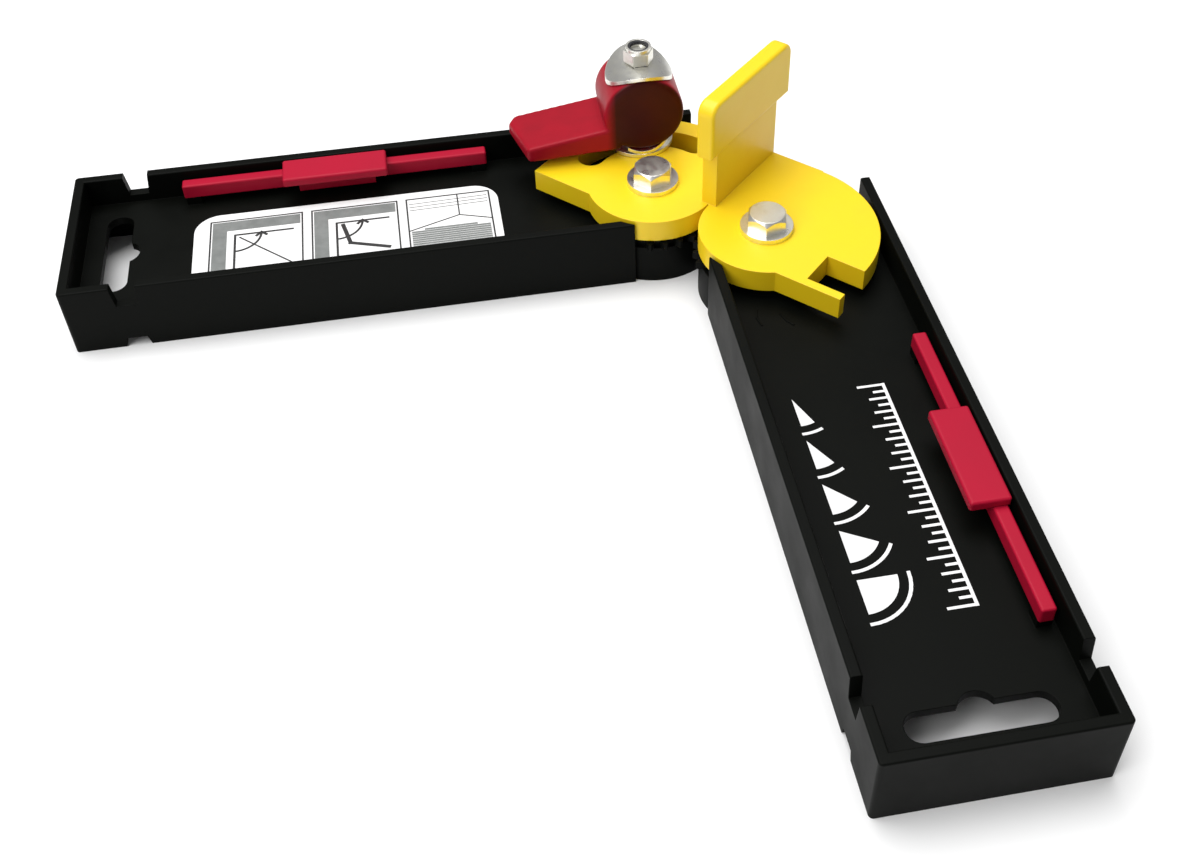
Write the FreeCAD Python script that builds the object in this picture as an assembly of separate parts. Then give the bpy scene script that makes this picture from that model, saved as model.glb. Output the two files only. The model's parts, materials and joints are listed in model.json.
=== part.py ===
import FreeCAD, Part
import math
import os

# Angle-transfer sliding bevel. Two moulded blades turn on a bisector hub. Their hub ends are geared
# one to one, so the fin on the hub always halves the angle, and a cam lever locks it.
# Millimetres, +Z up. The origin is the centre of the tool's square footprint, on the bench.
#
# Two local frames keep the dimensions simple:
#   blade frame: origin at the blade's pivot, x towards the free end, y towards the outer edge
#   hub frame:   origin midway between the pivots, y along the fin, x towards the right blade

V = FreeCAD.Vector
UP = V(0, 0, 1)

# ---- Driving dimensions -------------------------------------------------------------------------

# blades
PIVOT_OFFSET = 20.5            # pivot to the bisector
REST_HALF_ANGLE = 45.0         # bisector to each blade, as stored
INNER_EDGE = 19.3              # pivot line to the inner reference edge
OUTER_EDGE = 37.7              # pivot line to the outer reference edge
BLADE_END = 177.0              # pivot to the free end
HUB_END = 19.3                 # pivot to the hub end
BLADE_HEIGHT = 22.3
WALL = 3.0
WEB_TOP = 12.8
WEB = 2.5
INNER_RIM_START = 9.0
RIM_ROUND = 0.5                # rounded rims and corners
CORNER_ROUND = 1.2

# pivot boss and gear sector
BOSS_RADIUS = 20.0
TEETH_PER_TURN = 28
TOOTH_BACKLASH = 0.30
GEAR_TOP = 15.4                # the sectors mesh between the webs and the hub
GEAR_BOTTOM = 13.1             # teeth clear the other blade's web
NUT_RECESS_RADIUS = 8.6
NUT_RECESS_TOP = 7.5

# hanging slot and edge notches near the free end
SLOT_START = 160.3
SLOT_WIDTH = 8.0
SLOT_LENGTH = 36.0
SLOT_BUMP_RADIUS = 4.9
NOTCH_START = 154.8
NOTCH_WIDTH = 7.8
NOTCH_ROOT = 5.8
UPPER_NOTCH_FLOOR = 15.5
LOWER_NOTCH_ROOF = 3.1

# guide bars and sliders
BAR_START = 49.0
BAR_END = 144.5
BAR_INNER = 29.5
BAR_WIDTH = 3.9
BAR_BOTTOM = 15.6
BAR_TOP = 20.0
BAR_POST = 5.0
BAR_SCREW_RADIUS = 0.9
SLIDER_LENGTH = 32.5
SLIDER_INNER = 23.3
SLIDER_OUTER = 34.1
SLIDER_TOP = 22.6
SLIDER_PLATE_BOTTOM = 20.0      # thumb plate over a narrower grip that straddles the bar
GRIP_LENGTH = 24.0
GRIP_INNER = 27.9
GRIP_BOTTOM = 14.5
SLIDER_GAP = 0.3
SLIDER_ROUND = 0.8
LEAF_LENGTH = 20.0
LEAF_THICK = 0.3
LEAF_BOW = 0.2
LEAF_BOTTOM = 16.0
LEAF_TOP = 19.6

# printed label on the left blade
LABEL_START = 47.3
LABEL_END = 141.5
LABEL_LOW = -12.5
LABEL_HIGH = 22.0
LABEL_CORNER = 8.0
LABEL_THICK = 0.2

# hub
HUB_BOTTOM = 16.0
HUB_TOP = 23.0
LOBE_RADIUS = 33.6
NECK_RADIUS = 20.3
NECK_GAP = 0.7                 # neck to the end of the inner rim
HUB_BACK = 34.0
FRONT_EDGE = -15.9
POINTER_TIP = 54.2
POINTER_WIDTH = 2.8
POINTER_NOTCH_START = 42.0
POINTER_NOTCH_BACK = -1.2
FIN_FRONT = 0.3
FIN_THICK = 5.0
FIN_HEAD_THICK = 5.8
FIN_HEAD_BOTTOM = 41.8
FIN_HEAD_TOP = 60.0
FIN_HEAD_FRONT = -3.2
FIN_HEAD_BACK = 41.0
FIN_HEAD_CORNER = 4.0
FIN_HEAD_ROUND = 1.2

# pivot hardware: quarter-inch hex bolts
BOLT_RADIUS = 3.17
SLEEVE_RADIUS = 3.95
SLEEVE_WALL_GAP = 0.03
RUNNING_GAP = 0.05
HEX_ACROSS_FLATS = 11.1
BOLT_HEAD_HEIGHT = 4.4
WASHER_RADIUS = 7.9
WASHER_THICK = 1.6
FRICTION_RADIUS = 14.0
FRICTION_THICK = 0.5
PIVOT_NUT_HEIGHT = 5.0
UNDER_WASHER_THICK = 1.6

# cam clamp
STUD_RADIUS_OF_TRAVEL = 23.1   # pivot to the clamp stud, on the blade's outer side
TRACK_HALF_WIDTH = 4.1         # arc track in the hub that the stud post rides in
TRACK_OVERRUN = 1.5            # degrees past the stud at each end of travel
STUD_RADIUS = 2.5
STUD_POST_RADIUS = 3.6
STUD_POST_TOP = 21.8
STUD_HEAD_RADIUS = 5.5
STUD_HEAD_THICK = 2.8
STUD_NECK = 5.0
STUD_RECESS = 1.7              # the stem stops inside the nut
STUD_SOCKET_RADIUS = 7.5
STUD_SOCKET_BOTTOM = 7.4
CAM_AXIS_HEIGHT = 38.3
CAM_RADIUS = 12.5
CAM_WIDTH = 20.0
CAM_SWING = 35.0               # degrees the lever lifts
CAM_ROUND = 1.3
SADDLE_GAP = 0.3
SADDLE_THICK = 1.1
SADDLE_RADIUS = 10.4
LOWER_SADDLE_TRIM = 5.2
HANDLE_REACH = 41.0
HANDLE_SLANT = 4.5
HANDLE_TIP_TOP = 29.9
HANDLE_ROOT_TOP = 35.0
HANDLE_TIP_BOTTOM = 25.4
HANDLE_ROOT_BOTTOM = 26.9
CAM_NUT_FLATS = 8.0
CAM_NUT_HEIGHT = 5.0
INSERT_HEIGHT = 1.2
FLAT_WASHER_RADIUS = 10.5
FLAT_WASHER_BOTTOM = 23.2

# ---- Worked out from the driving dimensions -----------------------------------------------------

HALF_ROOT = math.sqrt(0.5)
PIVOT = PIVOT_OFFSET * HALF_ROOT
FOOTPRINT_SHIFT = (BLADE_END - OUTER_EDGE) / 2.0
WEB_BOTTOM = WEB_TOP - WEB
MODULE = 2.0 * PIVOT_OFFSET / TEETH_PER_TURN
TIP_RADIUS = PIVOT_OFFSET + 0.95 * MODULE
ROOT_RADIUS = PIVOT_OFFSET - 1.25 * MODULE
MESH_ANGLE = 180.0 + REST_HALF_ANGLE
PITCH_STEP = 360.0 / TEETH_PER_TURN
HUB_SHOULDER = math.sqrt(BOSS_RADIUS ** 2 - HUB_END ** 2)   # where the round boss meets the hub end
BLADE_MIDDLE = (OUTER_EDGE - INNER_EDGE) / 2.0
BAR_MIDDLE = (BAR_START + BAR_END) / 2.0
SADDLE_INNER = CAM_RADIUS + SADDLE_GAP
SADDLE_TOP = CAM_AXIS_HEIGHT + SADDLE_INNER + SADDLE_THICK
CAM_NUT_BOTTOM = SADDLE_TOP + 0.1
CAM_NUT_TOP = CAM_NUT_BOTTOM + CAM_NUT_HEIGHT


# ---- Helpers ------------------------------------------------------------------------------------

def box(x0, x1, y0, y1, z0, z1):
    return Part.makeBox(x1 - x0, y1 - y0, z1 - z0, V(x0, y0, z0))


def rod(radius, z0, z1, x=0.0, y=0.0):
    return Part.makeCylinder(radius, z1 - z0, V(x, y, z0))


def ring(outer, inner, z0, z1, x=0.0, y=0.0):
    return rod(outer, z0, z1, x, y).cut(rod(inner, z0 - 1, z1 + 1, x, y))


def prism(points, z0, z1):
    """Straight-sided outline raised from z0 to z1."""
    wire = Part.makePolygon([V(x, y, z0) for x, y in points + points[:1]])
    return Part.Face(wire).extrude(UP * (z1 - z0))


def hexagon(across_flats, z0, z1, x=0.0, y=0.0):
    radius = across_flats / math.sqrt(3.0)
    corners = [(x + radius * math.cos(math.radians(60 * i)), y + radius * math.sin(math.radians(60 * i)))
               for i in range(6)]
    return prism(corners, z0, z1)


def polar(radius, degrees):
    return radius * math.cos(math.radians(degrees)), radius * math.sin(math.radians(degrees))


def join(first, *others):
    return first.fuse(list(others)).removeSplitter()


def turned(shape, degrees, centre=V(0, 0, 0), axis=UP):
    copy = shape.copy()
    copy.rotate(centre, axis, degrees)
    return copy


def moved(shape, x, y, z=0.0):
    copy = shape.copy()
    copy.translate(V(x, y, z))
    return copy


def rounded(shape, radius, wanted):
    """Fillet the edges for which wanted(edge) is true."""
    edges = [edge for edge in shape.Edges if wanted(edge)]
    return shape.makeFillet(radius, edges)


def is_upright(edge):
    box_of_edge = edge.BoundBox
    return box_of_edge.XLength < 1e-4 and box_of_edge.YLength < 1e-4


def place_right(shape):
    """Blade frame to the tool's frame, right blade."""
    return moved(turned(shape, -90.0), PIVOT + FOOTPRINT_SHIFT, -PIVOT + FOOTPRINT_SHIFT)


def place_left(shape):
    """Blade frame to the tool's frame, left blade: the mirror image."""
    return moved(shape.mirror(V(0, 0, 0), V(1, 0, 0)), -PIVOT + FOOTPRINT_SHIFT, PIVOT + FOOTPRINT_SHIFT)


def place_hub(shape):
    """Hub frame to the tool's frame."""
    return moved(turned(shape, -45.0), FOOTPRINT_SHIFT, FOOTPRINT_SHIFT)


# ---- Blades -------------------------------------------------------------------------------------

def blade_outline():
    """Plan of the web: square ends, with the corner next to the other blade rounded about the pivot."""
    start = V(BLADE_END, -INNER_EDGE, 0)
    rim = V(INNER_RIM_START, -INNER_EDGE, 0)
    step = V(INNER_RIM_START, -math.sqrt(BOSS_RADIUS ** 2 - INNER_RIM_START ** 2), 0)
    middle = V(-BOSS_RADIUS * HALF_ROOT, -BOSS_RADIUS * HALF_ROOT, 0)
    shoulder = V(-HUB_END, HUB_SHOULDER, 0)
    corner = V(-HUB_END, OUTER_EDGE, 0)
    far_corner = V(BLADE_END, OUTER_EDGE, 0)
    edges = [Part.makePolygon([far_corner, start, rim, step]),
             Part.Arc(step, middle, shoulder).toShape(),
             Part.makePolygon([shoulder, corner, far_corner])]
    return Part.Face(Part.Wire(edges))


def gear_tooth(centre_angle):
    """One involute tooth, rooted inside the boss."""
    pressure = math.radians(20.0)
    base = PIVOT_OFFSET * math.cos(pressure)
    half_at_pitch = (math.pi * MODULE / 2.0 - TOOTH_BACKLASH) / (2.0 * PIVOT_OFFSET)
    involute_at_pitch = math.tan(pressure) - pressure
    flank = []
    for step in range(5):
        radius = base + (TIP_RADIUS - base) * step / 4.0
        slope = math.acos(min(1.0, base / radius))
        half = half_at_pitch + involute_at_pitch - (math.tan(slope) - slope)
        flank.append((radius, math.degrees(half)))
    flank.insert(0, (ROOT_RADIUS - 0.4, flank[0][1]))
    left = [polar(radius, centre_angle - half) for radius, half in flank]
    right = [polar(radius, centre_angle + half) for radius, half in reversed(flank)]
    overhang = ring(TIP_RADIUS + 1.0, BOSS_RADIUS, WEB_TOP - 1.0, GEAR_BOTTOM)
    return prism(left + right, WEB_TOP - 0.5, GEAR_TOP).cut(overhang)


def gear_sector(first_offset, count):
    """Teeth at equal steps, the first one first_offset pitches from the mesh line."""
    return [gear_tooth(MESH_ANGLE + (first_offset + i) * PITCH_STEP) for i in range(count)]


def hanging_slot():
    """Long slot across the web, with the round bump that a nail sits in."""
    half = SLOT_WIDTH / 2.0
    run = SLOT_LENGTH / 2.0 - half
    x = SLOT_START + half
    bottom, top = WEB_BOTTOM - 1.0, WEB_TOP + 1.0
    return join(box(x - half, x + half, BLADE_MIDDLE - run, BLADE_MIDDLE + run, bottom, top),
                rod(half, bottom, top, x, BLADE_MIDDLE - run),
                rod(half, bottom, top, x, BLADE_MIDDLE + run),
                rod(SLOT_BUMP_RADIUS, bottom, top, x - 1.9, BLADE_MIDDLE))


def edge_notches():
    """Tapered notches across both rims, one from above and one from below."""
    side = (NOTCH_WIDTH - NOTCH_ROOT) / 2.0
    end = NOTCH_START + NOTCH_WIDTH
    upper = [(NOTCH_START, BLADE_HEIGHT + 1), (NOTCH_START + side, UPPER_NOTCH_FLOOR),
             (end - side, UPPER_NOTCH_FLOOR), (end, BLADE_HEIGHT + 1)]
    lower = [(NOTCH_START, -1.0), (NOTCH_START + side, LOWER_NOTCH_ROOF),
             (end - side, LOWER_NOTCH_ROOF), (end, -1.0)]
    cuts = []
    for profile in (upper, lower):
        for wall_start in (-INNER_EDGE - 1.0, OUTER_EDGE - WALL - 0.5):
            wire = Part.makePolygon([V(x, wall_start, z) for x, z in profile + profile[:1]])
            cuts.append(Part.Face(wire).extrude(V(0, WALL + 1.5, 0)))
    return cuts


def blade_shell():
    """H-section channel: a web half way up between the two reference walls and an end wall."""
    web = moved(blade_outline().extrude(UP * WEB), 0, 0, WEB_BOTTOM)
    outer = box(-HUB_END, BLADE_END, OUTER_EDGE - WALL, OUTER_EDGE, 0, BLADE_HEIGHT)
    inner = box(INNER_RIM_START, BLADE_END, -INNER_EDGE, -INNER_EDGE + WALL, 0, BLADE_HEIGHT)
    inner = inner.cut(rod(NECK_RADIUS + NECK_GAP, WEB_TOP, BLADE_HEIGHT + 1))
    end = box(BLADE_END - WALL, BLADE_END, -INNER_EDGE, OUTER_EDGE, 0, BLADE_HEIGHT)
    hub_skirt = box(-HUB_END, -HUB_END + WALL, HUB_SHOULDER, OUTER_EDGE, 0, WEB_TOP)
    return join(web, outer, inner, end, hub_skirt)


def round_blade_rims(shell):
    """Soften the free end's corners and the tops of the rims."""
    def is_corner(edge):
        box_of_edge = edge.BoundBox
        return is_upright(edge) and box_of_edge.XMin > BLADE_END - 0.1 and box_of_edge.ZLength > 10

    def is_rim(edge):
        box_of_edge = edge.BoundBox
        return box_of_edge.ZMin > BLADE_HEIGHT - 0.01 and box_of_edge.XMax > INNER_RIM_START + 6

    return rounded(rounded(shell, CORNER_ROUND, is_corner), RIM_ROUND, is_rim)


def blade(teeth):
    boss = rod(BOSS_RADIUS, 0, WEB_TOP)
    gear_disc = rod(ROOT_RADIUS, WEB_TOP - 0.5, GEAR_TOP)
    body = join(round_blade_rims(blade_shell()), boss, gear_disc, *teeth)
    return body.cut([rod(SLEEVE_RADIUS + RUNNING_GAP, -1, GEAR_TOP + 1),
                     rod(NUT_RECESS_RADIUS, -1, NUT_RECESS_TOP),
                     hanging_slot()] + edge_notches())


def clamp_post():
    """Post for the clamp stud, with a socket for its head under the web."""
    y = STUD_RADIUS_OF_TRAVEL
    return join(rod(STUD_POST_RADIUS, WEB_BOTTOM, STUD_POST_TOP, 0, y),
                rod(STUD_SOCKET_RADIUS, STUD_SOCKET_BOTTOM, WEB_TOP, 0, y))


def clamp_post_bore():
    y = STUD_RADIUS_OF_TRAVEL
    half = STUD_NECK / 2.0
    neck_top = WEB_TOP - 1.0
    return [rod(STUD_RADIUS + 0.1, STUD_SOCKET_BOTTOM - 1, STUD_POST_TOP + 1, 0, y),
            rod(STUD_HEAD_RADIUS + 0.4, -1, STUD_SOCKET_BOTTOM, 0, y),
            box(-half, half, y - half, y + half, STUD_SOCKET_BOTTOM - 1, neck_top)]


def bar_pads():
    """Moulded pads under the ends of a guide bar."""
    height = BAR_BOTTOM
    y0, y1 = BAR_INNER, BAR_INNER + BAR_WIDTH
    return [box(BAR_START + 0.5, BAR_START + BAR_POST, y0, y1, WEB_BOTTOM, height),
            box(BAR_END - BAR_POST, BAR_END - 0.5, y0, y1, WEB_BOTTOM, height)]


def bar_screw_holes(radius, z0, z1):
    y = BAR_INNER + BAR_WIDTH / 2.0
    return [rod(radius, z0, z1, x, y) for x in (BAR_START + BAR_POST / 2, BAR_END - BAR_POST / 2)]


def right_blade():
    body = join(blade(gear_sector(-4.0, 9)), *bar_pads())
    return body.cut(bar_screw_holes(BAR_SCREW_RADIUS, WEB_BOTTOM - 1, BAR_TOP))


def left_blade():
    body = join(blade(gear_sector(-4.5, 10)), clamp_post(), *bar_pads())
    return body.cut(clamp_post_bore() + bar_screw_holes(BAR_SCREW_RADIUS, WEB_BOTTOM - 1, BAR_TOP))


# ---- Pieces on the blades -----------------------------------------------------------------------

def guide_bar():
    bar = box(BAR_START, BAR_END, BAR_INNER, BAR_INNER + BAR_WIDTH, BAR_BOTTOM, BAR_TOP)
    bar = rounded(bar, 0.6, lambda edge: edge.BoundBox.ZMin > BAR_TOP - 0.01 or is_upright(edge))
    return bar.cut(bar_screw_holes(BAR_SCREW_RADIUS, BAR_BOTTOM - 1, BAR_TOP - 1.4))


def bar_screws():
    """Self-tapping screws from below, through the web and pads into the bar."""
    head_radius, head_thick = 1.9, 1.2
    screws = []
    for shank in bar_screw_holes(BAR_SCREW_RADIUS, WEB_BOTTOM - head_thick, BAR_TOP - 1.6):
        centre = shank.CenterOfMass
        head = rod(head_radius, WEB_BOTTOM - head_thick, WEB_BOTTOM, centre.x, centre.y)
        screws.append(join(shank, head))
    return Part.makeCompound(screws)


def slider():
    """Thumb plate on a narrower grip that straddles its guide bar."""
    half = SLIDER_LENGTH / 2.0
    plate = box(BAR_MIDDLE - half, BAR_MIDDLE + half, SLIDER_INNER, SLIDER_OUTER, SLIDER_PLATE_BOTTOM, SLIDER_TOP)
    plate = rounded(plate, SLIDER_ROUND, lambda edge: edge.BoundBox.ZMin > SLIDER_TOP - 0.01 or is_upright(edge))
    grip = box(BAR_MIDDLE - GRIP_LENGTH / 2, BAR_MIDDLE + GRIP_LENGTH / 2,
               GRIP_INNER, SLIDER_OUTER, GRIP_BOTTOM, SLIDER_PLATE_BOTTOM + 0.5)
    block = join(plate, grip)
    channel = box(BAR_MIDDLE - half - 1, BAR_MIDDLE + half + 1,
                  BAR_INNER - SLIDER_GAP, BAR_INNER + BAR_WIDTH + SLIDER_GAP,
                  GRIP_BOTTOM - 1, BAR_TOP + SLIDER_GAP)
    pocket = box(BAR_MIDDLE - LEAF_LENGTH / 2 - 0.2, BAR_MIDDLE + LEAF_LENGTH / 2 + 0.2,
                 BAR_INNER - SLIDER_GAP - LEAF_THICK, BAR_INNER, LEAF_BOTTOM - 0.2, LEAF_TOP + 0.2)
    return block.cut([channel, pocket])


def slider_spring():
    """Leaf that presses the slider against its bar: a shallow bow in the slider's inner cheek."""
    y = BAR_INNER - SLIDER_GAP
    first = V(BAR_MIDDLE - LEAF_LENGTH / 2, y, LEAF_BOTTOM)
    last = V(BAR_MIDDLE + LEAF_LENGTH / 2, y, LEAF_BOTTOM)
    depth = V(0, LEAF_THICK, 0)
    front = Part.Arc(first, V(BAR_MIDDLE, y + LEAF_BOW, LEAF_BOTTOM), last).toShape()
    back = Part.makePolygon([last, last - depth, first - depth, first])
    return Part.Face(Part.Wire([front, back])).extrude(UP * (LEAF_TOP - LEAF_BOTTOM))


def instruction_label():
    label = box(LABEL_START, LABEL_END, LABEL_LOW, LABEL_HIGH, WEB_TOP, WEB_TOP + LABEL_THICK)
    return rounded(label, LABEL_CORNER, is_upright)


# ---- Hub ----------------------------------------------------------------------------------------

def lobe(side):
    """One half of the hub plate: round outside, necked about the pivot, with a straight front edge."""
    x = side * PIVOT_OFFSET
    disc = rod(LOBE_RADIUS, HUB_BOTTOM, HUB_TOP, x, 0)
    behind = box(-80, 80, FRONT_EDGE, 80, HUB_BOTTOM, HUB_TOP)
    neck = rod(NECK_RADIUS, HUB_BOTTOM, HUB_TOP, x, 0)
    outward = sorted((x, side * 80))
    outer_half = box(outward[0], outward[1], -80, 80, HUB_BOTTOM, HUB_TOP)
    back_fill = box(min(0, x), max(0, x), 0, HUB_BACK, HUB_BOTTOM, HUB_TOP)
    pointer = prism([(side * 33.0, FRONT_EDGE), (side * POINTER_TIP, FRONT_EDGE),
                     (side * POINTER_TIP, FRONT_EDGE + POINTER_WIDTH), (side * 33.0, FRONT_EDGE + POINTER_WIDTH)],
                    HUB_BOTTOM, HUB_TOP)
    return join(disc.common(behind).common(outer_half), neck, back_fill, pointer)


def left_lobe_heel():
    """The left lobe keeps its full width out to the pointer's tip."""
    tip = (-POINTER_TIP, FRONT_EDGE)
    back = polar(LOBE_RADIUS, 176.0)
    return prism([tip, (-POINTER_TIP, FRONT_EDGE + 4.0), (back[0] - PIVOT_OFFSET, back[1]),
                  (-PIVOT_OFFSET, 0.0), (-PIVOT_OFFSET - 12.0, FRONT_EDGE)], HUB_BOTTOM, HUB_TOP)


def pointer_notch():
    """Gap behind the right pointer, which leaves it as a slim finger."""
    return box(POINTER_NOTCH_START, 80, FRONT_EDGE + POINTER_WIDTH, POINTER_NOTCH_BACK,
               HUB_BOTTOM - 1, HUB_TOP + 1)


def stud_track():
    """Arc track for the clamp post, about the left pivot."""
    inner = STUD_RADIUS_OF_TRAVEL - TRACK_HALF_WIDTH
    outer = STUD_RADIUS_OF_TRAVEL + TRACK_HALF_WIDTH
    bottom, top = HUB_BOTTOM - 1, HUB_TOP + 1
    first, last = 90.0 - TRACK_OVERRUN, 180.0 + TRACK_OVERRUN
    wedge = prism([(0.0, 0.0)] + [polar(60.0, first + (last - first) * i / 4.0) for i in range(5)], bottom, top)
    band = ring(outer, inner, bottom, top).common(wedge)
    ends = [rod(TRACK_HALF_WIDTH, bottom, top, *polar(STUD_RADIUS_OF_TRAVEL, angle)) for angle in (first, last)]
    return moved(join(band, *ends), -PIVOT_OFFSET, 0)


def fin():
    """Upright plate on the bisector, with a longer head."""
    stem = box(-FIN_THICK / 2, FIN_THICK / 2, FIN_FRONT, HUB_BACK, HUB_BOTTOM, FIN_HEAD_BOTTOM + 3)
    head = box(-FIN_HEAD_THICK / 2, FIN_HEAD_THICK / 2, FIN_HEAD_FRONT, FIN_HEAD_BACK,
               FIN_HEAD_BOTTOM, FIN_HEAD_TOP)

    def is_top_corner(edge):
        return edge.BoundBox.ZMin > FIN_HEAD_TOP - 0.01 and edge.BoundBox.YLength < 0.01

    def is_long_rim(edge):
        limits = edge.BoundBox
        return limits.XLength < 0.01

    head = rounded(head, FIN_HEAD_CORNER, is_top_corner)
    return join(rounded(head, FIN_HEAD_ROUND, is_long_rim), stem)


def hub():
    plate = join(lobe(-1), lobe(1), left_lobe_heel())
    plate = plate.cut([pointer_notch(), stud_track()])
    plate = join(plate, fin())
    bores = [rod(SLEEVE_RADIUS, HUB_BOTTOM - 1, HUB_TOP + 1, side * PIVOT_OFFSET, 0) for side in (-1, 1)]
    return plate.cut(bores)


# ---- Pivot hardware, both sides -----------------------------------------------------------------

def both_pivots(piece):
    """The same piece at each pivot, as one group of separate solids."""
    return Part.makeCompound([moved(piece, side * PIVOT_OFFSET, 0) for side in (-1, 1)])


def pivot_bolt():
    head_bottom = HUB_TOP + WASHER_THICK
    head_top = head_bottom + BOLT_HEAD_HEIGHT
    head = hexagon(HEX_ACROSS_FLATS, head_bottom, head_top)
    dome = Part.makeCone(HEX_ACROSS_FLATS * 0.5 + 3.6, HEX_ACROSS_FLATS * 0.5 - 0.3, BOLT_HEAD_HEIGHT,
                         V(0, 0, head_bottom))
    stem = rod(BOLT_RADIUS, 0.4, head_bottom + 1)
    return join(head.common(dome), stem)


def pivot_washer():
    return ring(WASHER_RADIUS, BOLT_RADIUS + 0.2, HUB_TOP, HUB_TOP + WASHER_THICK)


def pivot_sleeve():
    return ring(SLEEVE_RADIUS, BOLT_RADIUS + SLEEVE_WALL_GAP, NUT_RECESS_TOP - 0.1, HUB_TOP)


def friction_washer():
    bottom = HUB_BOTTOM - FRICTION_THICK
    return ring(FRICTION_RADIUS, SLEEVE_RADIUS + 0.3, bottom, HUB_BOTTOM)


def under_washer():
    top = NUT_RECESS_TOP - 0.1
    return ring(WASHER_RADIUS, BOLT_RADIUS + 0.2, top - UNDER_WASHER_THICK, top)


def pivot_nut():
    top = NUT_RECESS_TOP - 0.1 - UNDER_WASHER_THICK
    return hexagon(HEX_ACROSS_FLATS, top - PIVOT_NUT_HEIGHT, top).cut(rod(BOLT_RADIUS, 0, top + 1))


# ---- Cam clamp (blade frame of the left blade) --------------------------------------------------

def along_cam(radius, y0, y1):
    """Cylinder on the cam's axis."""
    return Part.makeCylinder(radius, y1 - y0, V(0, y0, CAM_AXIS_HEIGHT), V(0, 1, 0))


def saddle():
    """Round washer bent over the top of the cam."""
    y = STUD_RADIUS_OF_TRAVEL
    arch = along_cam(SADDLE_INNER + SADDLE_THICK, y - 15, y + 15).cut(along_cam(SADDLE_INNER, y - 16, y + 16))
    blank = ring(SADDLE_RADIUS, STUD_RADIUS + 0.25, CAM_AXIS_HEIGHT, SADDLE_TOP + 2, 0, y)
    return arch.common(blank)


def lower_saddle():
    """The same washer under the cam, trimmed to clear the handle."""
    y = STUD_RADIUS_OF_TRAVEL
    under = turned(saddle(), 180.0, V(0, y, CAM_AXIS_HEIGHT), V(0, 1, 0))
    return under.cut(box(LOWER_SADDLE_TRIM, 20, y - 20, y + 20, 0, CAM_AXIS_HEIGHT))


def flat_washer():
    top = CAM_AXIS_HEIGHT - SADDLE_INNER - SADDLE_THICK
    return ring(FLAT_WASHER_RADIUS, STUD_RADIUS + 0.25, FLAT_WASHER_BOTTOM, top, 0, STUD_RADIUS_OF_TRAVEL)


def stud_window():
    """Bow-tie hole through the cam: the upright stud at every lift of the lever."""
    gap = STUD_RADIUS + 0.2
    reach = CAM_RADIUS + 6.0
    y = STUD_RADIUS_OF_TRAVEL
    slot = box(-gap, gap, y - gap, y + gap, CAM_AXIS_HEIGHT - reach, CAM_AXIS_HEIGHT + reach)
    swung = turned(slot, CAM_SWING, V(0, y, CAM_AXIS_HEIGHT), V(0, 1, 0))
    far_x, far_z = polar(reach, 90.0 - CAM_SWING)
    fans = []
    for way in (1, -1):
        corners = [V(0, y - gap, CAM_AXIS_HEIGHT), V(0, y - gap, CAM_AXIS_HEIGHT + way * reach),
                   V(way * far_x, y - gap, CAM_AXIS_HEIGHT + way * far_z)]
        face = Part.Face(Part.makePolygon(corners + corners[:1]))
        fans.append(face.extrude(V(0, 2 * gap, 0)))
    return join(slot, swung, *fans)


def lever_handle():
    """Flat thumb paddle, thinner and lower towards its slanted tip."""
    y0 = STUD_RADIUS_OF_TRAVEL - CAM_WIDTH / 2
    root = CAM_RADIUS - 5.0
    side = [V(root, y0, HANDLE_ROOT_BOTTOM), V(HANDLE_REACH, y0, HANDLE_TIP_BOTTOM),
            V(HANDLE_REACH, y0, HANDLE_TIP_TOP), V(root, y0, HANDLE_ROOT_TOP)]
    paddle = Part.Face(Part.makePolygon(side + side[:1])).extrude(V(0, CAM_WIDTH, 0))
    plan = prism([(0, y0 - 1), (HANDLE_REACH - HANDLE_SLANT, y0 - 1), (HANDLE_REACH, y0 + CAM_WIDTH - 3),
                  (HANDLE_REACH - 2.5, y0 + CAM_WIDTH + 1), (0, y0 + CAM_WIDTH + 1)], 20, 45)
    return paddle.common(plan)


def cam_lever():
    y0 = STUD_RADIUS_OF_TRAVEL - CAM_WIDTH / 2
    drum = along_cam(CAM_RADIUS, y0, y0 + CAM_WIDTH)
    drum = rounded(drum, CAM_ROUND, lambda edge: edge.BoundBox.YLength < 0.01 and len(edge.Vertexes) == 1)
    handle = lever_handle()
    handle = rounded(handle, CAM_ROUND, lambda edge: edge.BoundBox.XMin > CAM_RADIUS)
    return join(drum, handle).cut(stud_window())


def cam_stud():
    """Carriage bolt: domed head in the blade's socket, square neck, plain stem up through the nut."""
    y = STUD_RADIUS_OF_TRAVEL
    half = STUD_NECK / 2.0
    neck_top = WEB_TOP - 1.0
    head = Part.makeCone(STUD_HEAD_RADIUS - 1.8, STUD_HEAD_RADIUS, STUD_HEAD_THICK,
                         V(0, y, STUD_SOCKET_BOTTOM - STUD_HEAD_THICK))
    neck = box(-half, half, y - half, y + half, STUD_SOCKET_BOTTOM - 0.5, neck_top)
    return join(head, neck, rod(STUD_RADIUS, neck_top - 1, CAM_NUT_TOP - STUD_RECESS, 0, y))


def cam_nut():
    y = STUD_RADIUS_OF_TRAVEL
    collar_bottom = CAM_NUT_TOP - INSERT_HEIGHT
    body = hexagon(CAM_NUT_FLATS, CAM_NUT_BOTTOM, collar_bottom, 0, y)
    collar = rod(CAM_NUT_FLATS / 2.0 - 0.1, collar_bottom - 0.1, CAM_NUT_TOP, 0, y)
    pocket = rod(CAM_NUT_FLATS / 2.0 - 0.8, collar_bottom, CAM_NUT_TOP + 1, 0, y)
    return join(body, collar).cut([pocket, rod(STUD_RADIUS, CAM_NUT_BOTTOM - 1, CAM_NUT_TOP, 0, y)])


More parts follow.
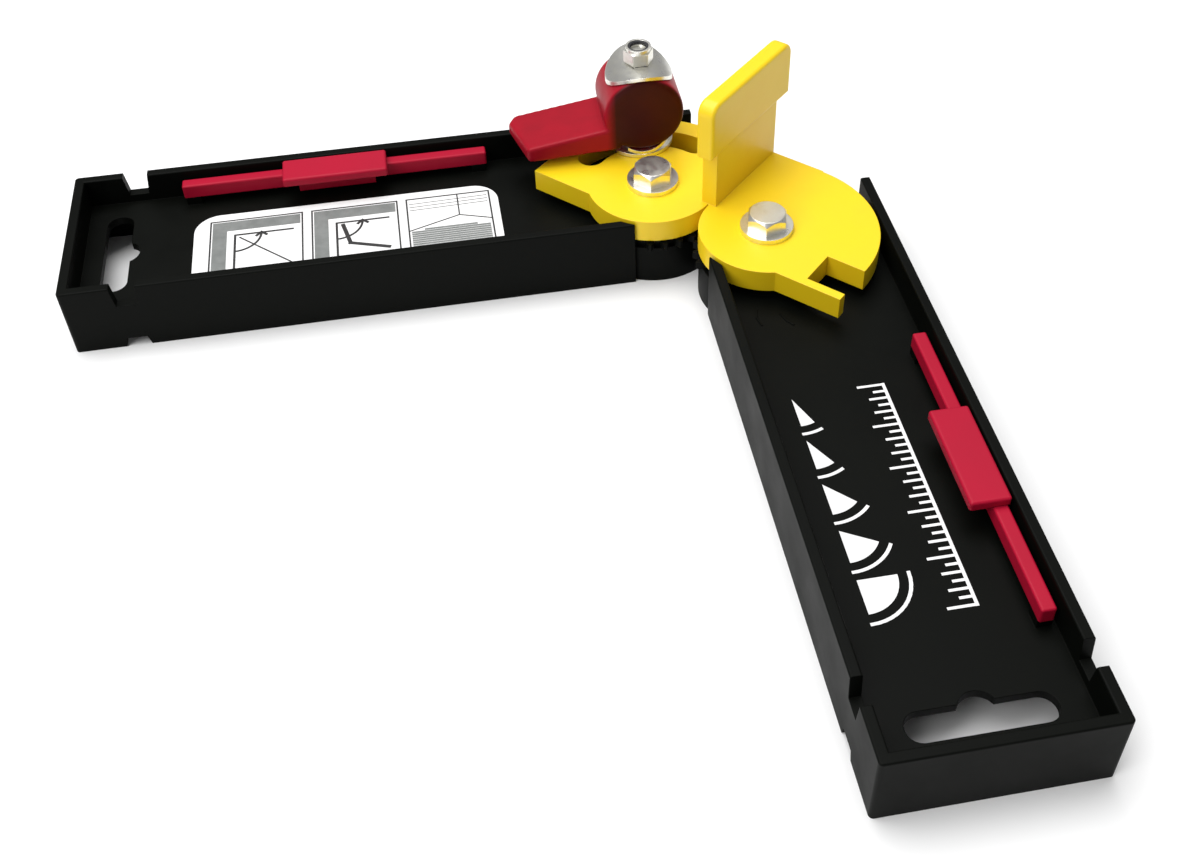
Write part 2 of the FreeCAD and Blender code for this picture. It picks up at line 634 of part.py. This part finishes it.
def nut_insert():
    """Nylon ring that makes the nut self-locking."""
    return ring(CAM_NUT_FLATS / 2.0 - 0.8, STUD_RADIUS, CAM_NUT_TOP - INSERT_HEIGHT,
                CAM_NUT_TOP - 0.2, 0, STUD_RADIUS_OF_TRAVEL)


# ---- Write one file per piece -------------------------------------------------------------------

def all_pieces():
    pieces = {
        "hub": place_hub(hub()),
        "pivot_bolts": place_hub(both_pivots(pivot_bolt())),
        "pivot_washers": place_hub(both_pivots(pivot_washer())),
        "pivot_sleeves": place_hub(both_pivots(pivot_sleeve())),
        "friction_washers": place_hub(both_pivots(friction_washer())),
        "pivot_under_washers": place_hub(both_pivots(under_washer())),
        "pivot_lock_nuts": place_hub(both_pivots(pivot_nut())),
        "left_blade": place_left(left_blade()),
        "right_blade": place_right(right_blade()),
        "instruction_label": place_left(instruction_label()),
    }
    for side, place in (("left", place_left), ("right", place_right)):
        pieces[side + "_guide_bar"] = place(guide_bar())
        pieces[side + "_bar_screws"] = place(bar_screws())
        pieces[side + "_slider"] = place(slider())
        pieces[side + "_slider_spring"] = place(slider_spring())
    for make in (cam_stud, cam_nut, nut_insert, saddle, lower_saddle, flat_washer, cam_lever):
        name = {"nut_insert": "cam_nut_insert", "saddle": "cam_saddle", "lower_saddle": "cam_lower_saddle",
                "flat_washer": "cam_flat_washer"}.get(make.__name__, make.__name__)
        pieces[name] = place_left(make())
    return pieces


os.makedirs("parts", exist_ok=True)
for name, shape in all_pieces().items():
    print(name, "solids", len(shape.Solids), "volume", round(shape.Volume, 1), "valid", shape.isValid())
    shape.exportStep(os.path.join("parts", name + ".step"))
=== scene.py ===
import json
import math

import bmesh
import bpy
from mathutils import Matrix, Vector
from mathutils.geometry import delaunay_2d_cdt


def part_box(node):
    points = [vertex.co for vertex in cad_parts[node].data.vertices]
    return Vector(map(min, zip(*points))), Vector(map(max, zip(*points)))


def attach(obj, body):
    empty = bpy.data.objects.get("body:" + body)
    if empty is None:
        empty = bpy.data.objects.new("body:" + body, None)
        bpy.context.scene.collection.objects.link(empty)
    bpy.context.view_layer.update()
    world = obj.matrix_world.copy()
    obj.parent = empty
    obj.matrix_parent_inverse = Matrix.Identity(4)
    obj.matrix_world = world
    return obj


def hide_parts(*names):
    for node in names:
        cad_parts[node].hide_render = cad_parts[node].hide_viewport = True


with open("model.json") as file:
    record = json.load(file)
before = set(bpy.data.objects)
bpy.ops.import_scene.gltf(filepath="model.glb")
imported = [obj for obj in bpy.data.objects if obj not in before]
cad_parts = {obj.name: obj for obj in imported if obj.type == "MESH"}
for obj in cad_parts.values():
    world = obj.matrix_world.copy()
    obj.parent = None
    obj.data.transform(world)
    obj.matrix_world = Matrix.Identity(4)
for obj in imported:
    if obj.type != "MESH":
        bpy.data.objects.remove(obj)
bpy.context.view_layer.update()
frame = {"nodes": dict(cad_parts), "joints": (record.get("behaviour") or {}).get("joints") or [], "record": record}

# Sizes below are millimetres in the blade frame: x from the pivot to the free end, y to the outer edge.
MM = 0.001
JOINTS = {joint["name"]: joint for joint in frame["joints"]}
LEFT_PIVOT = Vector(JOINTS["left_blade_turn"]["pos_m"])
RIGHT_PIVOT = Vector(JOINTS["right_blade_turn"]["pos_m"])
CAM_CENTRE = Vector(JOINTS["cam_lift"]["pos_m"])
LABEL_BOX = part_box("instruction_label")
WEB_TOP = LABEL_BOX[0].z / MM
LABEL_TOP = LABEL_BOX[1].z / MM
PRINT_THICK = 0.04


def on_left(x, y, z):
    """A point of the left blade's own frame, in the row frame."""
    return Vector((LEFT_PIVOT.x - x * MM, LEFT_PIVOT.y + y * MM, z * MM))


def on_right(x, y, z):
    """A point of the right blade's own frame, in the row frame."""
    return Vector((RIGHT_PIVOT.x + y * MM, RIGHT_PIVOT.y - x * MM, z * MM))


# ---- Materials ----------------------------------------------------------------------------------

class Surface:
    """A Principled material with helpers for the procedural nodes that feed it."""

    def __init__(self, name):
        self.material = bpy.data.materials.new(name)
        self.material.use_nodes = True
        self.nodes = self.material.node_tree.nodes
        self.links = self.material.node_tree.links
        self.shader = self.nodes["Principled BSDF"]
        self.place = self.nodes.new("ShaderNodeTexCoord").outputs["Object"]

    def plain(self, **values):
        for socket, value in values.items():
            self.shader.inputs[socket.replace("_", " ")].default_value = value
        return self

    def add(self, kind, inputs, **settings):
        node = self.nodes.new(kind)
        for key, value in settings.items():
            setattr(node, key, value)
        for key, value in inputs.items():
            if isinstance(value, bpy.types.NodeSocket):
                self.links.new(value, node.inputs[key])
            else:
                node.inputs[key].default_value = value
        return node

    def noise(self, size, detail=3.0, roughness=0.6, stretch=(1, 1, 1)):
        """Noise whose features are about size millimetres across."""
        mapped = self.add("ShaderNodeMapping", {"Vector": self.place, "Scale": stretch})
        found = self.add("ShaderNodeTexNoise", {"Vector": mapped.outputs["Vector"], "Scale": 1 / (size * MM),
                                                "Detail": detail, "Roughness": roughness})
        return found.outputs["Fac"]

    def scratches(self, size, angle, width=0.035):
        """Thin wandering lines, one to a cell of size millimetres, stretched along angle."""
        turned = self.add("ShaderNodeMapping", {"Vector": self.place, "Rotation": (0, 0, math.radians(angle)),
                                                "Scale": (1, 0.12, 1)})
        cells = self.add("ShaderNodeTexVoronoi",
                         {"Vector": turned.outputs["Vector"], "Scale": 1 / (size * MM)},
                         feature="DISTANCE_TO_EDGE")
        return self.ramp(cells.outputs["Distance"], 0.0, width, 1.0, 0.0)

    def ramp(self, value, low, high, start, end):
        """value from low to high becomes start to end."""
        mapped = self.add("ShaderNodeMapRange", {"Value": value, "From Min": low, "From Max": high,
                                                 "To Min": start, "To Max": end})
        return mapped.outputs["Result"]

    def mix(self, share, one, two):
        """Colour one where share is 0, colour two where it is 1."""
        node = self.add("ShaderNodeMix", {}, data_type="RGBA")
        for index, value in ((0, share), (6, one), (7, two)):
            if isinstance(value, bpy.types.NodeSocket):
                self.links.new(value, node.inputs[index])
            else:
                node.inputs[index].default_value = value
        return node.outputs[2]

    def product(self, one, two):
        return self.add("ShaderNodeMath", {0: one, 1: two}, operation="MULTIPLY").outputs[0]

    def feed(self, socket, value):
        self.links.new(value, self.shader.inputs[socket])
        return self

    def relief(self, height, depth, edge_round):
        """Bump of depth millimetres over edges softened by edge_round millimetres."""
        edge = self.add("ShaderNodeBevel", {"Radius": edge_round * MM}, samples=6)
        bump = self.add("ShaderNodeBump", {"Height": height, "Normal": edge.outputs["Normal"],
                                           "Distance": depth * MM, "Strength": 1.0})
        return self.feed("Normal", bump.outputs["Normal"])


def colour(red, green, blue):
    return (red, green, blue, 1.0)


def moulding(name, base, worn, gloss, grain, depth):
    """Injection-moulded plastic: fine texture, faint flow clouds, and scuffs that catch the light."""
    surface = Surface(name)
    clouds = surface.noise(18.0, 4.0)
    fine = surface.noise(grain, 2.0)
    handled = surface.ramp(surface.noise(9.0), 0.5, 0.75, 0.0, 1.0)
    scuffs = surface.product(surface.scratches(7.0, 33), handled)
    tint = surface.mix(surface.ramp(clouds, 0.3, 0.7, 0.0, 0.45), base, worn)
    faint_scuffs = surface.product(scuffs, surface.ramp(fine, 0, 1, 0.1, 0.35))
    surface.feed("Base Color", surface.mix(faint_scuffs, tint, worn))
    surface.feed("Roughness", surface.ramp(clouds, 0.3, 0.7, gloss - 0.05, gloss + 0.06))
    surface.relief(fine, depth, 0.35)
    return surface


def black_moulding():
    surface = moulding("black_moulding", colour(0.0016, 0.0020, 0.0014), colour(0.0042, 0.0049, 0.0038),
                       0.48, 0.28, 0.012)
    return surface.plain(Specular_IOR_Level=0.06).material


def yellow_moulding():
    surface = moulding("yellow_moulding", colour(0.88, 0.62, 0.010), colour(0.82, 0.55, 0.008),
                       0.36, 0.45, 0.006)
    surface.plain(Subsurface_Weight=0.06, Subsurface_Scale=0.0012, Specular_IOR_Level=0.4)
    return surface.material


def red_moulding():
    surface = moulding("red_moulding", colour(0.40, 0.0050, 0.028), colour(0.33, 0.0040, 0.023),
                       0.42, 0.4, 0.006)
    return surface.plain(Specular_IOR_Level=0.16).material


DRUM_EDGE = (11.8, 8.8)         # from the cam's axis towards the handle: crimson starts, painted cheek shade ends
CHEEK_DEPTH = (8.6, 9.6)        # from the lever's middle plane out to its flat cheeks, where the painted shade comes in


def lever_moulding_and_painted_shade():
    """Crimson, with painted shade: a much darker colour on the two flat cheeks of the drum, standing in for the
    shade they fall in.
    """
    surface = Surface("lever_moulding_and_painted_shade")
    clouds = surface.noise(12.0, 4.0)
    fine = surface.noise(0.4, 2.0)
    shade = surface.ramp(clouds, 0.3, 0.7, 0, 1)
    split = surface.add("ShaderNodeSeparateXYZ", {"Vector": surface.place})
    outer, inner = [CAM_CENTRE.x - distance * MM for distance in DRUM_EDGE]
    drum = surface.ramp(split.outputs["X"], outer, inner, 0.0, 1.0)
    across = surface.add("ShaderNodeMath", {0: split.outputs["Y"], 1: -CAM_CENTRE.y}, operation="ADD")
    depth = surface.add("ShaderNodeMath", {0: across.outputs[0]}, operation="ABSOLUTE").outputs[0]
    near, far = [distance * MM for distance in CHEEK_DEPTH]
    # Painted shade: the flat cheeks of the drum are darkened to stand in for the shade the light leaves on them.
    painted_shade_mask = surface.product(drum, surface.ramp(depth, near, far, 0.0, 1.0))
    crimson = surface.mix(shade, colour(0.34, 0.0050, 0.017), colour(0.27, 0.004, 0.014))
    # Dark brown-red painted shade colour for the cheeks.
    painted_cheek_shade = surface.mix(shade, colour(0.050, 0.003, 0.002), colour(0.035, 0.002, 0.002))
    surface.feed("Base Color", surface.mix(painted_shade_mask, crimson, painted_cheek_shade))
    surface.feed("Roughness", surface.ramp(clouds, 0.3, 0.7, 0.36, 0.46))
    surface.relief(fine, 0.006, 0.4)
    return surface.plain(Specular_IOR_Level=0.14).material


def zinc():
    """Bright zinc plate: crystalline clouds, fine rolling marks and a warm cast in places."""
    surface = Surface("zinc")
    clouds = surface.noise(3.2, 3.0)
    marks = surface.noise(0.7, 2.0, 0.6, (0.2, 1.0, 1.0))
    surface.feed("Base Color", surface.mix(surface.ramp(clouds, 0.35, 0.65, 0, 1), colour(0.90, 0.89, 0.85),
                                           colour(0.78, 0.77, 0.70)))
    surface.feed("Roughness", surface.ramp(clouds, 0.3, 0.7, 0.26, 0.38))
    surface.relief(marks, 0.0025, 0.2)
    return surface.plain(Metallic=1.0).material


def spring_steel():
    surface = Surface("spring_steel")
    marks = surface.noise(0.3, 2.0, 0.7, (0.1, 1.0, 1.0))
    surface.feed("Base Color", surface.mix(marks, colour(0.42, 0.42, 0.43), colour(0.55, 0.55, 0.55)))
    surface.feed("Roughness", surface.ramp(marks, 0.2, 0.8, 0.25, 0.4))
    surface.relief(marks, 0.005, 0.05)
    return surface.plain(Metallic=1.0).material


def bearing_plastic(name, pale, dark):
    """Plain bearing plastic with a slightly waxy, mottled face."""
    surface = Surface(name)
    clouds = surface.noise(1.6, 3.0)
    surface.feed("Base Color", surface.mix(surface.ramp(clouds, 0.3, 0.7, 0, 1), pale, dark))
    surface.feed("Roughness", surface.ramp(clouds, 0.3, 0.7, 0.4, 0.55))
    surface.relief(surface.noise(0.3), 0.004, 0.1)
    return surface.material


def film(name, pale, dark, gloss):
    """Printed film or pad-printed ink: nearly flat, with faint unevenness."""
    surface = Surface(name)
    clouds = surface.noise(3.0, 4.0)
    surface.feed("Base Color", surface.mix(surface.ramp(clouds, 0.35, 0.65, 0, 1), pale, dark))
    surface.feed("Roughness", surface.ramp(clouds, 0.3, 0.7, gloss, gloss + 0.1))
    surface.relief(surface.noise(0.6), 0.003, 0.03)
    return surface.material


def floor_surface():
    surface = Surface("floor")
    clouds = surface.noise(60.0, 3.0)
    surface.feed("Base Color", surface.mix(clouds, colour(0.86, 0.86, 0.86), colour(0.89, 0.89, 0.89)))
    surface.feed("Roughness", surface.ramp(clouds, 0.3, 0.7, 0.7, 0.8))
    return surface.material


LOOKS = {
    "black_moulding": black_moulding(),
    "yellow_moulding": yellow_moulding(),
    "red_moulding": red_moulding(),
    # The lever's material paints shade on the flat cheeks of its drum.
    "red_lever": lever_moulding_and_painted_shade(),
    "zinc": zinc(),
    "spring_steel": spring_steel(),
    "acetal": bearing_plastic("acetal", colour(0.78, 0.77, 0.72), colour(0.70, 0.69, 0.64)),
    "nylon": bearing_plastic("nylon", colour(0.012, 0.012, 0.014), colour(0.02, 0.02, 0.024)),
    "label_film": film("label_film", colour(0.86, 0.86, 0.86), colour(0.80, 0.80, 0.80), 0.3),
}
WHITE_INK = film("white_ink", colour(0.84, 0.84, 0.84), colour(0.74, 0.74, 0.74), 0.45)
GREY_INK = film("grey_ink", colour(0.16, 0.17, 0.165), colour(0.20, 0.21, 0.205), 0.4)
BLACK_INK = film("black_ink", colour(0.012, 0.012, 0.012), colour(0.02, 0.02, 0.02), 0.4)


def dress(piece, material):
    piece.data.materials.clear()
    piece.data.materials.append(material)


def dress_cad_nodes():
    for part in frame["record"]["subparts"]:
        dress(frame["nodes"][part["node"]], LOOKS[part["material_slot"]])


# ---- Printed and moulded marks ------------------------------------------------------------------

def stroke(points, width, closed=False):
    """Outline of a line of that width through the points, as quads."""
    quads = []
    ends = points[1:] + points[:1] if closed else points[1:]
    for start, end in zip(points, ends):
        run = Vector((end[0] - start[0], end[1] - start[1]))
        side = Vector((-run.y, run.x)).normalized() * width / 2
        over = run.normalized() * width / 2
        a, b = Vector(start) - over, Vector(end) + over
        quads.append([a - side, b - side, b + side, a + side])
    return quads


def arc(centre, radius, start, end, steps=12):
    """Points round an arc, in degrees."""
    angles = [math.radians(start + (end - start) * i / steps) for i in range(steps + 1)]
    return [(centre[0] + radius * math.cos(a), centre[1] + radius * math.sin(a)) for a in angles]


def rectangle(x0, x1, y0, y1):
    return [(x0, y0), (x1, y0), (x1, y1), (x0, y1)]


def merged(outlines):
    """Points and triangles of the area that the outlines cover together."""
    points = [Vector((p[0], p[1])) for outline in outlines for p in outline]
    faces, start = [], 0
    for outline in outlines:
        faces.append(list(range(start, start + len(outline))))
        start += len(outline)
    triangles_inside = 1
    found = delaunay_2d_cdt(points, [], faces, triangles_inside, 1e-4)
    covered = [triangle for triangle, sources in zip(found[2], found[5]) if sources]
    return found[0], covered


def plates(name, outlines, place, bottom, thick, material, body):
    """Thin plates standing thick millimetres over the surface at bottom."""
    points, triangles = merged(outlines)
    build = bmesh.new()
    low = [build.verts.new(place(p.x, p.y, bottom)) for p in points]
    for triangle in triangles:
        build.faces.new([low[i] for i in triangle])
    raised = bmesh.ops.extrude_face_region(build, geom=build.faces[:], use_keep_orig=True)
    corners = [item for item in raised["geom"] if isinstance(item, bmesh.types.BMVert)]
    bmesh.ops.translate(build, verts=corners, vec=(0, 0, thick * MM))
    bmesh.ops.recalc_face_normals(build, faces=build.faces)
    mesh = bpy.data.meshes.new(name)
    build.to_mesh(mesh)
    build.free()
    piece = bpy.data.objects.new(name, mesh)
    bpy.context.scene.collection.objects.link(piece)
    dress(piece, material)
    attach(piece, body)
    return piece


PANEL_LOW = -8.5
PANEL_HIGH = 18.6
PANELS = ((108.5, 136.5), (79.0, 105.5), (50.0, 76.0))      # from the free end towards the hub
FRAME_INSET = 0.6
WALL_BAND = 5.0
FLOOR_ROWS = 11
FLOOR_BOARD = 0.8


def wall_corner(low, high):
    """Grey and black shapes of a wall seen in plan, with an arrowed arc across its corner."""
    top = PANEL_HIGH - FRAME_INSET
    grey = [rectangle(high - WALL_BAND, high - FRAME_INSET, PANEL_LOW + FRAME_INSET, top),
            rectangle(low + FRAME_INSET, high - WALL_BAND, PANEL_HIGH - WALL_BAND - 0.2, top)]
    corner = (high - 7.5, PANEL_HIGH - 7.6)
    arrow_head = [(corner[0] - 9.5, corner[1] - 1.2), (corner[0] - 8.0, corner[1] + 0.2),
                  (corner[0] - 6.6, corner[1] - 1.3)]
    black = stroke([(low + 3.0, corner[1]), corner, (corner[0], PANEL_LOW + 3.0)], 0.7)
    black += stroke(arc(corner, 8.0, 180, 270), 0.7)
    black += stroke(arrow_head, 0.9)
    return grey, black


def room(low, high):
    """Grey and black shapes of a boarded floor, the room's far corner and the lines of its ceiling."""
    meeting = ((low + high) / 2 - 3.0, PANEL_LOW + 16.5)
    black = stroke([(low, PANEL_LOW + 13.0), meeting, (high, PANEL_LOW + 11.0)], 0.4)
    black += stroke([meeting, (meeting[0], PANEL_HIGH)], 0.4)
    grey = []
    for row in range(FLOOR_ROWS):
        y = PANEL_LOW + 0.9 + row
        inset = FLOOR_BOARD + (4.0 if row == FLOOR_ROWS - 1 else 0.0)
        grey.append(rectangle(low + inset, high - inset, y, y + FLOOR_BOARD))
    for line in range(3):
        y = PANEL_HIGH - 2.0 - 1.6 * line
        black += stroke([(low + 0.8, y), (high - 0.8, y - 0.6)], 0.18)
    return grey, black


def label_art():
    """Generic how-to pictures: a corner of a wall, a bevel opening on it, and the room it is for."""
    corner_panel, bevel_panel, room_panel = PANELS
    black, grey = [], []
    for low, high in PANELS:
        black += stroke(rectangle(low, high, PANEL_LOW, PANEL_HIGH), 0.5, True)
    for picture in (wall_corner(*corner_panel), wall_corner(*bevel_panel), room(*room_panel)):
        grey += picture[0]
        black += picture[1]
    low, high = bevel_panel
    black += stroke([(low + 3.5, PANEL_LOW + 5.0), (low + 15.0, PANEL_LOW + 9.0),
                     (low + 17.0, PANEL_HIGH - 9.0)], 1.3)
    low, high = corner_panel
    black += stroke([(low + 2.0, PANEL_LOW + 2.0), (high - 9.0, PANEL_HIGH - 9.0)], 0.5)
    plates("label_print_grey", grey, on_left, LABEL_TOP, PRINT_THICK, GREY_INK, "left_blade")
    plates("label_print_black", black, on_left, LABEL_TOP + PRINT_THICK, PRINT_THICK, BLACK_INK, "left_blade")


SCALE_START = 60.0
SCALE_END = 135.0
SCALE_LINE = 18.5
TICK_STEP = 2.5
ICON_ROW = -7.5
ICON_STEP = 15.5
ICON_SIZE = 13.0
ICON_FILL = 0.78                # the solid sector's radius as a share of the arc's
OPENINGS = (22.5, 30, 45, 60, 90)
MARK_HEIGHT = 0.25


def web_scale():
    """A plain graduated scale with a row of angle symbols beside it, in white ink."""
    marks = stroke([(SCALE_START, SCALE_LINE), (SCALE_END, SCALE_LINE)], 0.9)
    steps = int((SCALE_END - SCALE_START) / TICK_STEP)
    for tick in range(steps + 1):
        x = SCALE_START + tick * TICK_STEP
        length = 7.0 if tick % 6 == 0 else 5.0 if tick % 2 == 0 else 3.2
        marks += stroke([(x, SCALE_LINE), (x, SCALE_LINE - length)], 0.8)
    for i, opening in enumerate(OPENINGS):
        apex = (SCALE_START + 1.0 + ICON_STEP * i, ICON_ROW)
        marks.append([apex] + arc(apex, ICON_SIZE * ICON_FILL, 0, opening))
        marks += stroke(arc(apex, ICON_SIZE, 0, opening), 0.9)
    plates("web_scale_print", marks, on_right, WEB_TOP, PRINT_THICK, WHITE_INK, "right_blade")


def moulded_ticks():
    """Two small raised marks on the right web beside the hub."""
    marks = stroke([(24.0, -8.3), (27.3, -9.1), (30.5, -8.4)], 0.5)
    marks += stroke([(27.1, -2.0), (29.9, -0.9), (32.0, 0.6)], 0.5)
    ticks = plates("web_moulded_ticks", marks, on_right, WEB_TOP, MARK_HEIGHT, LOOKS["black_moulding"],
                   "right_blade")


# ---- Moulded lever ------------------------------------------------------------------------------

LEVER_VOXEL = 0.40
LEVER_SMOOTHING = 14            # passes


def soft_lever():
    """The cam lever with the blended corners of a moulding, worked from the CAD lever's own shape."""
    source = frame["nodes"]["cam_lever"]
    lever = bpy.data.objects.new("moulded_lever", source.data.copy())
    bpy.context.scene.collection.objects.link(lever)
    remesh = lever.modifiers.new("remesh", "REMESH")
    remesh.mode = "VOXEL"
    remesh.voxel_size = LEVER_VOXEL * MM
    smooth = lever.modifiers.new("smooth", "SMOOTH")
    smooth.factor = 0.5
    smooth.iterations = LEVER_SMOOTHING
    graph = bpy.context.evaluated_depsgraph_get()
    shaped = bpy.data.meshes.new_from_object(lever.evaluated_get(graph))
    lever.modifiers.clear()
    lever.data = shaped
    for face in lever.data.polygons:
        face.use_smooth = True
    dress(lever, LOOKS["red_lever"])
    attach(lever, "cam_lever")
    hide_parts("cam_lever")


# ---- Stage --------------------------------------------------------------------------------------

FLOOR_REACH = 4.0               # metres from the object


def stage_floor():
    mesh = bpy.data.meshes.new("floor")
    corners = [(x, y, 0) for x, y in rectangle(-FLOOR_REACH, FLOOR_REACH, -FLOOR_REACH, FLOOR_REACH)]
    mesh.from_pydata(corners, [], [(0, 1, 2, 3)])
    floor = bpy.data.objects.new("floor", mesh)
    bpy.context.scene.collection.objects.link(floor)
    dress(floor, floor_surface())


def soft_light(name, position, aim, size, power):
    lamp = bpy.data.lights.new(name, "AREA")
    lamp.shape = "RECTANGLE"
    lamp.size, lamp.size_y = size
    lamp.energy = power
    holder = bpy.data.objects.new(name, lamp)
    holder.location = position
    holder.rotation_euler = (Vector(aim) - Vector(position)).to_track_quat("-Z", "Y").to_euler()
    bpy.context.scene.collection.objects.link(holder)


def studio():
    world = bpy.data.worlds.new("studio")
    bpy.context.scene.world = world
    world.use_nodes = True
    background = world.node_tree.nodes["Background"]
    background.inputs["Color"].default_value = colour(1.0, 1.0, 1.0)
    background.inputs["Strength"].default_value = 0.3
    soft_light("overhead", (-0.15, 0.25, 1.2), (0, 0, 0), (1.4, 1.0), 20.0)
    soft_light("key", (-0.9, -0.6, 1.0), (0, 0, 0), (0.8, 0.8), 8.0)
    bpy.context.scene.view_settings.view_transform = "Standard"


CAMERA_PLACE = (-0.00856, -0.26726, 0.2908)      # metres
CAMERA_AZIMUTH = 9.50                           # degrees from +Y towards +X
CAMERA_ELEVATION = 43.95
CAMERA_ROLL = -0.98
CAMERA_LENS = 43.13
CAMERA_SHIFT = (-0.0347, -0.0618)


def camera():
    data = bpy.data.cameras.new("camera")
    data.sensor_width = 36.0
    data.lens = CAMERA_LENS
    data.shift_x, data.shift_y = CAMERA_SHIFT
    data.clip_start = 0.01
    holder = bpy.data.objects.new("camera", data)
    turn = (Matrix.Rotation(math.radians(-CAMERA_AZIMUTH), 4, "Z")
            @ Matrix.Rotation(math.radians(90 - CAMERA_ELEVATION), 4, "X")
            @ Matrix.Rotation(math.radians(CAMERA_ROLL), 4, "Z"))
    holder.matrix_world = Matrix.Translation(CAMERA_PLACE) @ turn
    bpy.context.scene.collection.objects.link(holder)
    bpy.context.scene.camera = holder


dress_cad_nodes()
label_art()
web_scale()
moulded_ticks()
soft_lever()
stage_floor()
studio()
camera()
